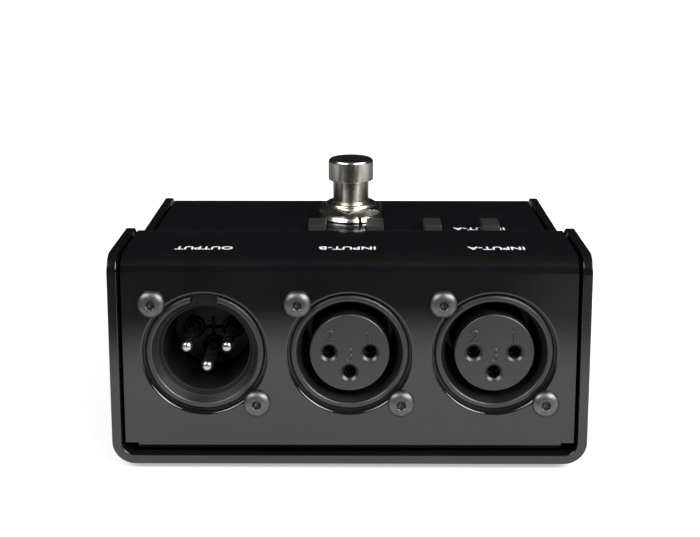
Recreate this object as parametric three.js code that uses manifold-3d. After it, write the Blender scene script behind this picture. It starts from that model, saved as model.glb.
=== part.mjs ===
// A balanced input selector pedal: a folded steel base, a stepped steel cover, one male and two female
// three-pin connectors on the front panel, four small push switches and a latching footswitch.
// Millimetres, +Z up. The connectors face -Y. The origin is the centre of the footprint, on the floor.

import * as THREE from "three";
import { mergeVertices } from "three/addons/utils/BufferGeometryUtils.js";
import Module from "manifold-3d";

const wasm = await Module();
wasm.setup();

// ---------------------------------------------------------------- driving dimensions

// Case.
const caseWidth = 95;
const caseDepth = 85;
const frontHeight = 42.9;
const rearHeight = 36.9;
const baseSheet = 1.9;
const baseBendRadius = 4.6;
const wallCornerRadius = 4;
const coverSheet = 1.2;
const coverSetBack = 1.4;
const coverSideGap = 0.6;
const upperDeckDrop = 0.5;
const lowerDeckDrop = 0.45;
const ridgeFromFront = 24;
const slopeRun = 9;
const ridgeRadius = 2;
const coverBendRadius = 3.5;
const footBendRadius = 1.7;
const footFlangeLength = 9;
const reliefWidth = 2.6;
const reliefHeight = 0.05;
const sideTabWidth = 14;
const sideTabBelowScrew = 5;
const padThickness = 1.2;
const padInset = 4.5;
const padCornerRadius = 4;

// Gaps between pieces.
const seatGap = 0.3;
const flatGap = 0.1;
const slideGap = 0.3;

// Connectors.
const connectorPitch = 28.8;
const connectorHeight = 22.6;
const ringDiameter = 24.1;
const panelHoleGap = 0.25;
const panelHoleEdge = 0.5;
const ringBehindPanel = 0.7;
const ringEdge = 0.35;
const flangeSize = 26;
const flangeThickness = 2.4;
const flangeCornerRadius = 3;
const housingLength = 22;
const housingFloor = 1.6;
const housingStep = 1;
const housingStepGap = 0.5;
const pinCircleRadius = 4.1;
const pinDiameter = 2.4;
const pinLength = 14;
const pinTipDepth = 3;
const malePlateDiameter = 16.4;
const maleBoreDiameter = 17.5;
const maleFunnelDiameter = 21;
const maleFunnelDepth = 3.6;
const maleLipDepth = 1.2;
const notchWidth = 5.4;
const notchDepth = 1.7;
const notchIntoFunnel = 1;
const pinBossDiameter = 3.8;
const pinBossGroove = 0.55;
const crossGrooveWidth = 0.8;
const crossGrooveAbove = 2.3;
const plateGrooveDepth = 1;
const femaleBoreDiameter = 19.3;
const femaleLeadDiameter = 21.4;
const femaleLeadDepth = 1.5;
const femaleLipDepth = 0.3;
const femaleInsertDiameter = 15.9;
const femaleInsertFoot = 2;
const femaleInsertEdge = 0.25;
const contactHoleDiameter = 2.8;
const contactHoleMouth = 3.9;
const contactHoleLip = 1.3;
const contactHoleTaper = 1;
const contactDiameter = 3.2;
const contactLength = 11;
const contactBoreGap = 0.05;
const contactFloor = 1;
const tailDiameter = 1;
const tailBeyondBoard = 1.4;
const pinShoulderInFloor = 0.5;

// Connector screws, on the diagonal of each connector.
const panelScrewOffset = 10.3;
const panelScrewHead = 5.3;
const panelScrewHeadHeight = 1.25;
const panelScrewThread = 2.4;
const panelScrewLength = 7;
const panelScrewHex = 1.7;
const panelScrewHexDepth = 0.8;
const panelHoleForScrew = 3;

// Case screws, countersunk in the side walls.
const caseScrewHeight = 20;
const caseScrewFromFront = 14;
const caseScrewFromRear = 22;
const caseScrewHead = 5.6;
const caseScrewHeadHeight = 1.5;
const caseScrewThread = 2.8;
const caseScrewLength = 6.5;
const caseScrewHex = 2;
const caseScrewHexDepth = 1.1;

// Boards.
const boardThickness = 1.6;
const mainBoardWidth = 84;
const mainBoardBottom = 6;
const mainBoardTop = 35.5;
const switchBoardSideMargin = 5;
const switchBoardLeftMargin = 9.2;
const switchBoardRearMargin = 0.6;
const headerHeight = 2.5;
const headerWidth = 10;
const headerDepth = 2.5;
const standoffDiameter = 4.5;
const standoffBore = 3.1;
const standoffRoof = 1.5;
const standoffFromEnd = 4;
const standoffFromFront = 6;
const boardScrewThread = 2.5;
const boardScrewHead = 4.8;
const boardScrewHeadHeight = 1.6;
const boardScrewLength = 5.5;
const boardScrewHex = 1.9;
const boardScrewHexDepth = 0.8;
const boardScrewEdge = 0.4;

// Push switches.
const buttonCount = 4;
const buttonPitch = 13.3;
const firstButtonX = -7.7;
const buttonFromFront = 44.6;
const buttonWidth = 4;
const buttonDepth = 7.9;
const buttonProud = 2;
const buttonTravel = 1.5;
const buttonBelowDeck = 0.9;
const buttonEdge = 0.4;
const buttonStem = 2.2;
const buttonStemLength = 3;
const windowGap = 0.25;
const pushBodyWidth = 8.4;
const pushBodyDepth = 8.2;
const pushBodyHeight = 7;

// Footswitch.
const footswitchFromFront = 62;
const capDiameter = 10.7;
const capHeight = 5.3;
const capAboveDeck = 9.4;
const capEdge = 0.9;
const capDome = 0.35;
const capUnderEdge = 0.15;
const neckDiameter = 8.5;
const plungerTravel = 3;
const bushingDiameter = 12;
const bushingAboveNut = 0.75;
const bushingBelowDeck = 6.2;
const bushingPlateThickness = 1.5;
const bushingEdge = 0.4;
const nutWall = 1.15;
const nutHeight = 1.95;
const nutTurn = 25;
const nutChamferAngle = 38;
const innerNutHeight = 2;
const washerBoreGap = 0.4;
const washerBand = 1.2;
const washerThickness = 1.2;
const washerSlit = 0.9;
const washerSlitTurn = -72;
const washerEdge = 0.2;
const retainerLip = 0.85;
const retainerHeight = 1.4;
const guideDiameter = 4.4;
const switchBodySize = 17;
const switchBodyHeight = 12.5;
const switchWellGap = 0.9;
const switchFloor = 1.5;
const springDiameter = 8;
const springWire = 0.8;
const springTurns = 5;
const lugPitch = 5;
const lugRowPitch = 4.8;
const lugWidth = 2;
const lugThickness = 0.8;
const lugLength = 4.6;
const lugEyeDiameter = 1;
const lugEyeFromEnd = 1.1;
const cableWidth = 11;
const cableThickness = 0.9;
const cableBendRadius = 2.4;
const cableRise = 8;

// Facets around a full turn.
const ringFacets = 40;
const neckFacets = 28;
const smallFacets = 16;
const pinFacets = 10;

// ---------------------------------------------------------------- derived places

const front = -caseDepth / 2;
const rear = caseDepth / 2;
const innerWall = caseWidth / 2 - baseSheet;
const coverHalf = innerWall - coverSideGap;
const panelFace = front + coverSetBack;
const rearFace = rear - coverSetBack;
const upperDeck = frontHeight - upperDeckDrop;
const lowerDeck = rearHeight - lowerDeckDrop;
const lowerDeckUnder = lowerDeck - coverSheet;
const ridge = front + ridgeFromFront;
const coverFoot = baseSheet + seatGap;
const ringFront = panelFace + ringBehindPanel;
const flangeDepth = coverSheet - ringBehindPanel + flatGap;
const housingRear = ringFront + housingLength;
const mainBoardFront = housingRear + seatGap;
const mainBoardRear = mainBoardFront + boardThickness;
const tailLength = seatGap + boardThickness + tailBeyondBoard;
const panelHoleDiameter = ringDiameter + 2 * panelHoleGap;
const connectorXs = [-connectorPitch, 0, connectorPitch];
const buttonXs = Array.from({ length: buttonCount }, (_, i) => firstButtonX + i * buttonPitch);
const buttonY = front + buttonFromFront + buttonDepth / 2;
const buttonUnder = lowerDeckUnder - buttonBelowDeck;
const pushBodyTop = buttonUnder - buttonTravel - slideGap;
const pushBodyUnder = pushBodyTop - pushBodyHeight;
const switchBoardTop = pushBodyUnder - flatGap;
const footswitchY = front + footswitchFromFront;
const washerUnder = lowerDeck + flatGap;
const nutUnder = washerUnder + washerThickness + flatGap;
const bushingTop = nutUnder + nutHeight + bushingAboveNut;
const nutAcrossFlats = bushingDiameter + 2 * nutWall;
const washerBore = bushingDiameter + washerBoreGap;
const washerDiameter = washerBore + 2 * washerBand;
const bushingBore = neckDiameter + 2 * slideGap;
const retainerDiameter = bushingBore + 2 * retainerLip;
const switchWellDiameter = retainerDiameter + 2 * switchWellGap;
const plateTop = lowerDeckUnder - bushingBelowDeck;
const plateUnder = plateTop - bushingPlateThickness;
const bodyTop = plateUnder - flatGap;
const bodyUnder = bodyTop - switchBodyHeight;
const wellFloor = bodyUnder + switchFloor;
const capUnder = lowerDeck + capAboveDeck;
const capTop = capUnder + capHeight;
const retainerTop = plateUnder - slideGap;
const retainerUnder = retainerTop - retainerHeight;

// ---------------------------------------------------------------- helpers

// Corners [x, y, radius] become points, with an arc at each corner that has a radius.
function rounded(corners, steps = 5) {
  return corners.flatMap(([x, y, radius = 0], i) => {
    const corner = new THREE.Vector2(x, y);
    if (!radius) return [corner];
    const before = new THREE.Vector2(...corners.at(i - 1).slice(0, 2)).sub(corner).normalize();
    const next = corners[(i + 1) % corners.length];
    const after = new THREE.Vector2(...next.slice(0, 2)).sub(corner).normalize();
    const half = Math.acos(before.dot(after)) / 2;
    const reach = radius / Math.tan(half);
    const inward = before.clone().add(after).normalize();
    const centre = inward.multiplyScalar(radius / Math.sin(half)).add(corner);
    const start = before.multiplyScalar(reach).add(corner).sub(centre);
    const end = after.multiplyScalar(reach).add(corner).sub(centre);
    const sweep = Math.atan2(start.cross(end), start.dot(end));
    return Array.from({ length: steps + 1 }, (_, k) =>
      start.clone().rotateAround(new THREE.Vector2(), (sweep * k) / steps).add(centre),
    );
  });
}

const outline = (corners, steps) => new THREE.Shape(rounded(corners, steps));

// The outline of a folded sheet of one thickness that follows the middle line through the corners.
function foldedSheet(corners, thickness) {
  const line = rounded(corners);
  const side = (sign) =>
    line.map((point, i) => {
      const into = point.clone().sub(line[Math.max(i - 1, 0)]).normalize();
      const out = line[Math.min(i + 1, line.length - 1)].clone().sub(point).normalize();
      const along = into.clone().add(out).normalize();
      const turning = into.length() && out.length() ? into.dot(out) : 1;
      const mitre = 1 / Math.sqrt((1 + turning) / 2);
      return new THREE.Vector2(-along.y, along.x).multiplyScalar((sign * mitre * thickness) / 2).add(point);
    });
  return new THREE.Shape([...side(1), ...side(-1).reverse()]);
}

const circle = (radius, facets = ringFacets) =>
  new THREE.Shape(
    Array.from({ length: facets }, (_, i) => {
      const turn = (i / facets) * 2 * Math.PI;
      return new THREE.Vector2(radius * Math.cos(turn), radius * Math.sin(turn));
    }),
  );

const hexagon = (acrossFlats, turn = 0) =>
  new THREE.Shape(
    Array.from({ length: 6 }, (_, i) =>
      new THREE.Vector2(acrossFlats / Math.sqrt(3), 0).rotateAround(
        new THREE.Vector2(),
        THREE.MathUtils.degToRad(turn + 60 * i),
      ),
    ),
  );

function toSolid(geometry) {
  const bare = geometry.clone();
  bare.deleteAttribute("normal");
  bare.deleteAttribute("uv");
  const merged = mergeVertices(bare, 1e-4);
  const mesh = new wasm.Mesh({
    numProp: 3,
    vertProperties: merged.attributes.position.array,
    triVerts: new Uint32Array(merged.index.array),
  });
  return new wasm.Manifold(mesh);
}

function toGeometry(solid) {
  const mesh = solid.getMesh();
  const geometry = new THREE.BufferGeometry();
  geometry.setAttribute("position", new THREE.BufferAttribute(mesh.vertProperties, 3));
  geometry.setIndex(new THREE.BufferAttribute(mesh.triVerts, 1));
  const faceted = geometry.toNonIndexed();
  faceted.computeVertexNormals();
  return faceted;
}

const extruded = (shape, depth) => new THREE.ExtrudeGeometry(shape, { depth, bevelEnabled: false, steps: 1 });

// A shape in (x, y) along Z, in (x, z) along Y, and in (y, z) along X.
const alongZ = (shape, low, high) => toSolid(extruded(shape, high - low).translate(0, 0, low));

const alongY = (shape, low, high) =>
  toSolid(extruded(shape, high - low).rotateX(Math.PI / 2).translate(0, high, 0));

const yzToWorld = new THREE.Matrix4().makeBasis(
  new THREE.Vector3(0, 1, 0),
  new THREE.Vector3(0, 0, 1),
  new THREE.Vector3(1, 0, 0),
);

const alongX = (shape, low, high) =>
  toSolid(extruded(shape, high - low).applyMatrix4(yzToWorld).translate(low, 0, 0));

// A closed outline of [radius, height] corners turned about Z.
function turned(corners, facets = ringFacets) {
  const points = [...corners, corners[0]].map(([radius, height]) => new THREE.Vector2(radius, height));
  return toSolid(new THREE.LatheGeometry(points, facets).rotateX(Math.PI / 2));
}

function block(x, y, z) {
  const geometry = new THREE.BoxGeometry(x[1] - x[0], y[1] - y[0], z[1] - z[0]);
  return toSolid(geometry.translate((x[0] + x[1]) / 2, (y[0] + y[1]) / 2, (z[0] + z[1]) / 2));
}

const around = (centre, size) => [centre - size / 2, centre + size / 2];

const joined = (solids) => solids.reduce((whole, solid) => whole.add(solid));
const cutFrom = (solid, tools) => tools.reduce((rest, tool) => rest.subtract(tool), solid);

// ---------------------------------------------------------------- materials

const finish = (color, roughness, metalness) =>
  new THREE.MeshStandardMaterial({ color, roughness, metalness });

const blackPaint = () => finish(0x141415, 0.18, 0.1);
const blackPlastic = () => finish(0x3a3a3e, 0.6, 0);
const buttonPlastic = () => finish(0x2b2b2d, 0.5, 0);
const nickel = () => finish(0xc9c3b6, 0.15, 1);
const screwSteel = () => finish(0x77777a, 0.4, 0.9);
const contactMetal = () => finish(0xd8d4c8, 0.2, 1);
const rubber = () => finish(0x151515, 0.9, 0);
const boardGreen = () => finish(0x1d4a2c, 0.5, 0);
const switchBlue = () => finish(0x2b4f9e, 0.5, 0);
const cableGrey = () => finish(0x8a8a8c, 0.6, 0);

function piece(name, solid, material) {
  const mesh = new THREE.Mesh(toGeometry(solid), material);
  mesh.name = name;
  return mesh;
}

// ---------------------------------------------------------------- case

// The side view of the case's walls, in (y, z).
function wallOutline() {
  return outline([
    [front, 0],
    [rear, 0],
    [rear, rearHeight, wallCornerRadius],
    [ridge + slopeRun, rearHeight, ridgeRadius],
    [ridge, frontHeight, ridgeRadius],
    [front, frontHeight, wallCornerRadius],
  ]);
}

function baseShell() {
  const half = caseWidth / 2 - baseSheet / 2;
  const channel = foldedSheet(
    [
      [-half, frontHeight],
      [-half, baseSheet / 2, baseBendRadius - baseSheet / 2],
      [half, baseSheet / 2, baseBendRadius - baseSheet / 2],
      [half, frontHeight],
    ],
    baseSheet,
  );
  const folded = alongY(channel, front, rear);
  const walls = alongX(wallOutline(), -caseWidth / 2, caseWidth / 2);
  return cutFrom(folded.intersect(walls), caseScrewPlaces().map(({ x, y }) => countersink(x, y)));
}

const caseScrewPlaces = () =>
  [-1, 1].flatMap((x) => [front + caseScrewFromFront, rear - caseScrewFromRear].map((y) => ({ x, y })));

// A turned solid, drawn about Z with its head up, laid through the side wall with the head outside.
function throughWall(solid, x, y) {
  return solid.rotate([0, x * 90, 0]).translate([(x * caseWidth) / 2, y, caseScrewHeight]);
}

function countersink(x, y) {
  const mouth = caseScrewHead / 2 + slideGap;
  const bore = caseScrewThread / 2 + slideGap;
  const profile = [
    [0, -baseSheet - 1],
    [bore, -baseSheet - 1],
    [bore, -caseScrewHeadHeight],
    [mouth, 0],
    [mouth, 1],
    [0, 1],
  ];
  return throughWall(turned(profile, smallFacets), x, y);
}

function caseScrew(x, y) {
  const profile = [
    [0, -caseScrewLength],
    [caseScrewThread / 2, -caseScrewLength],
    [caseScrewThread / 2, -caseScrewHeadHeight],
    [caseScrewHead / 2, -flatGap],
    [0, -flatGap],
  ];
  const socket = alongZ(hexagon(caseScrewHex), -caseScrewHexDepth, 1);
  return throughWall(turned(profile, smallFacets).subtract(socket), x, y);
}

// The cover's section, in (y, z): flange, front panel, upper deck, slope, lower deck, rear panel, flange.
function coverSection() {
  const middle = coverSheet / 2;
  return foldedSheet(
    [
      [panelFace + footFlangeLength, coverFoot + middle],
      [panelFace + middle, coverFoot + middle, footBendRadius - middle],
      [panelFace + middle, upperDeck - middle, coverBendRadius - middle],
      [ridge, upperDeck - middle, ridgeRadius],
      [ridge + slopeRun, lowerDeck - middle, ridgeRadius],
      [rearFace - middle, lowerDeck - middle, coverBendRadius - middle],
      [rearFace - middle, coverFoot + middle, footBendRadius - middle],
      [rearFace - footFlangeLength, coverFoot + middle],
    ],
    coverSheet,
  );
}

// A tab folded down inside the side wall, bored for a case screw.
function sideTab(x, y) {
  const deckUnder = (y < ridge ? upperDeck : lowerDeck) - coverSheet / 2;
  const outer = coverHalf;
  const span = x > 0 ? [outer - coverSheet, outer] : [-outer, coverSheet - outer];
  return block(span, around(y, sideTabWidth), [caseScrewHeight - sideTabBelowScrew, deckUnder]);
}

function tabHole(x, y) {
  const radius = caseScrewThread / 2 + slideGap;
  const drill = circle(radius, smallFacets);
  return throughWall(alongZ(drill, -caseScrewLength - 1, 1), x, y);
}

// The opening for a connector, with a rounded outer edge, drawn about Z and turned to face the front.
function connectorOpening(x) {
  const radius = panelHoleDiameter / 2;
  const profile = [
    [0, -coverSheet - 1],
    [radius, -coverSheet - 1],
    [radius, -panelHoleEdge],
    [radius + panelHoleEdge * 0.3, -panelHoleEdge * 0.3],
    [radius + panelHoleEdge, 0],
    [radius + panelHoleEdge, 1],
    [0, 1],
  ];
  return turned(profile).rotate([90, 0, 0]).translate([x, panelFace, connectorHeight]);
}

const panelScrewPlaces = () =>
  connectorXs.flatMap((x) => [
    { x: x - panelScrewOffset, z: connectorHeight + panelScrewOffset },
    { x: x + panelScrewOffset, z: connectorHeight - panelScrewOffset },
  ]);

function panelScrewHole({ x, z }) {
  const drill = circle(panelHoleForScrew / 2, pinFacets);
  return alongZ(drill, -coverSheet - 1, 1).rotate([90, 0, 0]).translate([x, panelFace, z]);
}

function reliefNotches() {
  const top = coverFoot + footBendRadius + reliefHeight;
  return [-1, 1].map((side) => {
    const inner = coverHalf - reliefWidth;
    const span = side > 0 ? [inner, coverHalf + 1] : [-coverHalf - 1, -inner];
    return block(span, [front - 1, rear + 1], [0, top]);
  });
}

function topShell() {
  const sheet = alongX(coverSection(), -coverHalf, coverHalf);
  const tabs = caseScrewPlaces().map(({ x, y }) => sideTab(x, y));
  const buttonWindow = (x) =>
    block(
      around(x, buttonWidth + 2 * windowGap),
      around(buttonY, buttonDepth + 2 * windowGap),
      [lowerDeckUnder - 1, lowerDeck + 1],
    );
  const bushingCircle = circle(bushingDiameter / 2 + slideGap, neckFacets);
  const bushingHole = alongZ(bushingCircle, lowerDeckUnder - 1, lowerDeck + 1);
  return cutFrom(joined([sheet, ...tabs]), [
    ...reliefNotches(),
    ...connectorXs.map(connectorOpening),
    ...panelScrewPlaces().map(panelScrewHole),
    ...caseScrewPlaces().map(({ x, y }) => tabHole(x, y)),
    ...buttonXs.map(buttonWindow),
    bushingHole.translate([0, footswitchY, 0]),
  ]);
}

function nonslipPad() {
  const x = caseWidth / 2 - padInset;
  const y = caseDepth / 2 - padInset;
  const corners = [[-x, -y], [x, -y], [x, y], [-x, y]];
  const rounding = corners.map((corner) => [...corner, padCornerRadius]);
  return alongZ(outline(rounding), -padThickness, -flatGap);
}

// ---------------------------------------------------------------- connectors
// Each is drawn about Z with the ring's front at zero and the box behind it at negative heights.
// X is to the right and Y is up, as seen from the front of the panel.

const housingBack = -housingLength;

function flangePlate() {
  const half = flangeSize / 2;
  const corners = [[-half, -half], [half, -half], [half, half], [-half, half]];
  const plate = outline(corners.map((corner) => [...corner, flangeCornerRadius]));
  const drills = [-1, 1].map((side) =>
    alongZ(circle(panelScrewThread / 2 + slideGap, pinFacets), -flangeDepth - panelScrewLength, 1).translate([
      -side * panelScrewOffset,
      side * panelScrewOffset,
      0,
    ]),
  );
  return cutFrom(alongZ(plate, -flangeDepth - flangeThickness, -flangeDepth), drills);
}

// The turned outside of a housing, with the ring's rounded front edge.
function housingBarrel(lipRadius) {
  const outer = ringDiameter / 2;
  const stepHeight = housingStepGap - flangeDepth - flangeThickness;
  return turned([
    [0, housingBack],
    [outer - housingStep, housingBack],
    [outer - housingStep, stepHeight],
    [outer, stepHeight],
    [outer, -ringEdge],
    [outer - ringEdge, 0],
    [lipRadius + ringEdge, 0],
    [lipRadius, -ringEdge],
    [0, -ringEdge],
  ]);
}

const pinPlaces = () => [
  [pinCircleRadius, 0],
  [-pinCircleRadius, 0],
  [0, -pinCircleRadius],
];

const atPins = (solid) => pinPlaces().map(([x, y]) => solid.translate([x, y, 0]));

function maleHousing() {
  const bore = maleBoreDiameter / 2;
  const lip = maleFunnelDiameter / 2;
  const cavity = turned([
    [0, housingBack + housingFloor],
    [bore, housingBack + housingFloor],
    [bore, -maleFunnelDepth],
    [lip, -maleLipDepth],
    [lip, 1],
    [0, 1],
  ]);
  const notchRoof = ringDiameter / 2 + 1;
  const notch = block(around(0, notchWidth), [lip - notchIntoFunnel, notchRoof], [-notchDepth, 1]);
  const rearHoles = atPins(alongZ(circle(pinDiameter / 2 + slideGap, pinFacets), housingBack - 1, 0));
  return cutFrom(joined([housingBarrel(lip), flangePlate()]), [cavity, notch, ...rearHoles]);
}

const plateFloor = -pinTipDepth - pinLength;
const plateBack = housingBack + housingFloor + seatGap;

function maleInsert() {
  const plate = alongZ(circle(malePlateDiameter / 2, ringFacets), plateBack, plateFloor);
  const grooveSpan = [plateFloor - plateGrooveDepth, plateFloor + 1];
  const ring = alongZ(circle(pinBossDiameter / 2 + pinBossGroove, smallFacets), ...grooveSpan);
  const upright = block(around(0, crossGrooveWidth), [-pinCircleRadius, crossGrooveAbove], grooveSpan);
  const across = block([-pinCircleRadius, pinCircleRadius], around(0, crossGrooveWidth), grooveSpan);
  const grooved = cutFrom(plate, [...atPins(ring), upright, across]);
  const boss = alongZ(circle(pinBossDiameter / 2, smallFacets), grooveSpan[0] - 0.1, plateFloor);
  const bores = atPins(alongZ(circle(pinDiameter / 2 + slideGap, pinFacets), plateBack - 1, 0));
  return cutFrom(joined([grooved, ...atPins(boss)]), bores);
}

function malePin() {
  const radius = pinDiameter / 2;
  const tip = Array.from({ length: 5 }, (_, i) => {
    const turn = (i / 4) * (Math.PI / 2);
    return [radius * Math.cos(turn), -pinTipDepth - radius + radius * Math.sin(turn)];
  });
  tip[4][0] = 0;
  const end = housingBack + pinShoulderInFloor;
  const tail = housingBack - tailLength;
  const shank = [[0, tail], [tailDiameter / 2, tail], [tailDiameter / 2, end], [radius, end]];
  return turned([...shank, ...tip], pinFacets);
}

function femaleHousing() {
  const bore = femaleBoreDiameter / 2;
  const lead = femaleLeadDiameter / 2;
  const cavity = turned([
    [0, housingBack + housingFloor],
    [bore, housingBack + housingFloor],
    [bore, -femaleLeadDepth],
    [lead, -femaleLipDepth],
    [lead, 1],
    [0, 1],
  ]);
  const rearHoles = atPins(alongZ(circle(tailDiameter / 2 + slideGap, pinFacets), housingBack - 1, 0));
  return cutFrom(joined([housingBarrel(lead), flangePlate()]), [cavity, ...rearHoles]);
}

const insertBack = housingBack + housingFloor + seatGap;

function femaleInsert() {
  const radius = femaleInsertDiameter / 2;
  const body = turned([
    [0, insertBack],
    [femaleBoreDiameter / 2 - slideGap, insertBack],
    [femaleBoreDiameter / 2 - slideGap, insertBack + femaleInsertFoot],
    [radius, insertBack + femaleInsertFoot],
    [radius, -femaleInsertEdge],
    [radius - femaleInsertEdge, 0],
    [0, 0],
  ]);
  const mouth = (contactHoleMouth - contactHoleDiameter) / 2;
  const bore = turned(
    [
      [0, insertBack - 1],
      [contactDiameter / 2 + slideGap, insertBack - 1],
      [contactDiameter / 2 + slideGap, -contactHoleLip - contactHoleTaper],
      [contactHoleDiameter / 2, -contactHoleLip],
      [contactHoleDiameter / 2, -mouth],
      [contactHoleMouth / 2, 0],
      [contactHoleMouth / 2, 1],
      [0, 1],
    ],
    smallFacets,
  );
  return cutFrom(body, atPins(bore));
}

function femaleContact() {
  const outer = contactDiameter / 2;
  const inner = pinDiameter / 2 + contactBoreGap;
  const top = -contactHoleLip - contactHoleTaper - seatGap;
  const under = top - contactLength;
  const tail = housingBack - tailLength;
  const profile = [
    [0, tail],
    [tailDiameter / 2, tail],
    [tailDiameter / 2, under],
    [outer, under],
    [outer, top],
    [inner, top],
    [inner, under + contactFloor],
    [0, under + contactFloor],
  ];
  return turned(profile, pinFacets);
}

function connector(name, x, housing, insert, contact, contactName) {
  const group = new THREE.Group();
  group.position.set(x, ringFront, connectorHeight);
  group.rotation.x = Math.PI / 2;
  group.add(piece(name + "_housing", housing, blackPlastic()));
  group.add(piece(name + "_insert", insert, blackPlastic()));
  atPins(contact).forEach((solid, i) => {
    group.add(piece(name + "_" + contactName + "_" + (i + 1), solid, contactMetal()));
  });
  return group;
}

function panelScrew() {
  const head = panelScrewHead / 2;
  const under = flatGap;
  const rise = panelScrewHeadHeight;
  const dome = Array.from({ length: 5 }, (_, i) => {
    const turn = (i / 4) * (Math.PI / 2);
    return [head * 0.45 + head * 0.55 * Math.cos(turn), under + rise * (0.25 + 0.75 * Math.sin(turn))];
  });
  const shank = panelScrewThread / 2;
  const end = -panelScrewLength;
  const top = [0, under + rise];
  const body = turned([[0, end], [shank, end], [shank, under], [head, under], ...dome, top], smallFacets);
  return body.subtract(alongZ(hexagon(panelScrewHex), under + rise - panelScrewHexDepth, 3));
}

// ---------------------------------------------------------------- boards

function mainBoard() {
  const depth = [mainBoardFront, mainBoardRear];
  const board = block(around(0, mainBoardWidth), depth, [mainBoardBottom, mainBoardTop]);
  const drill = alongZ(circle(tailDiameter / 2 + slideGap, pinFacets), -1, boardThickness + 1);
  const holes = connectorXs.flatMap((x) =>
    pinPlaces().map(([pinX, pinZ]) =>
      drill.rotate([90, 0, 0]).translate([x + pinX, mainBoardRear, connectorHeight + pinZ]),
    ),
  );
  return cutFrom(board, holes);
}

const switchBoardX = [buttonXs[0] - switchBoardLeftMargin, buttonXs[buttonCount - 1] + switchBoardSideMargin];
const switchBoardFront = mainBoardRear + seatGap;
const switchBoardRear = footswitchY - switchBodySize / 2 - switchBoardRearMargin;
const standoffY = switchBoardFront + standoffFromFront;
const standoffXs = [switchBoardX[0] + standoffFromEnd, switchBoardX[1] - standoffFromEnd];
const switchBoardUnder = switchBoardTop - boardThickness;

function slopeUnderAt(y) {
  const share = THREE.MathUtils.clamp((y - ridge) / slopeRun, 0, 1);
  return THREE.MathUtils.lerp(upperDeck, lowerDeck, share) - coverSheet;
}

function switchBoard() {
  const board = block(switchBoardX, [switchBoardFront, switchBoardRear], [switchBoardUnder, switchBoardTop]);
  const hole = circle(boardScrewThread / 2 + slideGap, pinFacets);
  const drill = alongZ(hole, switchBoardUnder - 1, switchBoardTop + 1);
  const tailRoom = circle(tailDiameter / 2 + slideGap, pinFacets);
  const tailDrill = alongZ(tailRoom, -boardThickness - tailBeyondBoard - slideGap, 1).rotate([90, 0, 0]);
  const tails = connectorXs.flatMap((x) =>
    pinPlaces().map(([pinX, pinZ]) =>
      tailDrill.translate([x + pinX, mainBoardFront, connectorHeight + pinZ]),
    ),
  );
  return cutFrom(board, [...standoffXs.map((x) => drill.translate([x, standoffY, 0])), ...tails]);
}

const standoffTop = Math.min(lowerDeckUnder, slopeUnderAt(standoffY - standoffDiameter / 2)) - seatGap;

function standoff(x) {
  const low = switchBoardTop + flatGap;
  const tube = alongZ(circle(standoffDiameter / 2, smallFacets), low, standoffTop);
  const bore = alongZ(circle(standoffBore / 2, pinFacets), low - 1, standoffTop - standoffRoof);
  return tube.subtract(bore).translate([x, standoffY, 0]);
}

function boardScrew(x) {
  const under = switchBoardUnder - flatGap;
  const shank = boardScrewThread / 2;
  const head = boardScrewHead / 2;
  const low = under - boardScrewHeadHeight;
  const body = turned(
    [
      [0, low],
      [head - boardScrewEdge, low],
      [head, low + boardScrewEdge],
      [head, under],
      [shank, under],
      [shank, under + boardScrewLength],
      [0, under + boardScrewLength],
    ],
    smallFacets,
  );
  const socket = alongZ(hexagon(boardScrewHex), low - 1, low + boardScrewHexDepth);
  return body.subtract(socket).translate([x, standoffY, 0]);
}

// The right-angle header between the two boards, in the corner under the switch board.
function boardHeader() {
  const y = mainBoardRear + seatGap;
  const high = switchBoardUnder - flatGap;
  return block(around(connectorPitch / 2, headerWidth), [y, y + headerDepth], [high - headerHeight, high]);
}

// ---------------------------------------------------------------- push switches

function buttonCap(x) {
  const top = lowerDeck + buttonProud;
  const halfX = buttonWidth / 2;
  const halfY = buttonDepth / 2;
  const rectangle = (inset) =>
    outline([
      [-halfX + inset, -halfY + inset, buttonEdge],
      [halfX - inset, -halfY + inset, buttonEdge],
      [halfX - inset, halfY - inset, buttonEdge],
      [-halfX + inset, halfY - inset, buttonEdge],
    ], 2);
  const head = new THREE.ExtrudeGeometry(rectangle(buttonEdge / 2), {
    depth: buttonProud,
    bevelEnabled: true,
    bevelThickness: buttonEdge / 2,
    bevelSize: buttonEdge / 2,
    bevelSegments: 2,
    steps: 1,
  }).translate(0, 0, top - buttonProud - buttonEdge / 2);
  const skirt = alongZ(rectangle(0), buttonUnder, top - buttonProud);
  const stem = block(
    around(0, buttonStem),
    around(0, buttonStem),
    [pushBodyTop - buttonStemLength, buttonUnder + 0.1],
  );
  return joined([toSolid(head), skirt, stem]).translate([x, buttonY, 0]);
}

function pushBody(x) {
  const body = block(
    around(0, pushBodyWidth),
    around(0, pushBodyDepth),
    [pushBodyUnder, pushBodyTop],
  );
  const well = block(
    around(0, buttonStem + 2 * slideGap),
    around(0, buttonStem + 2 * slideGap),
    [pushBodyTop - buttonStemLength - buttonTravel - slideGap, pushBodyTop + 1],
  );
  return body.subtract(well).translate([x, buttonY, 0]);
}

// ---------------------------------------------------------------- footswitch
// Each is drawn about Z and moved to the footswitch's axis.

const atFootswitch = (solid) => solid.translate([0, footswitchY, 0]);

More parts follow.
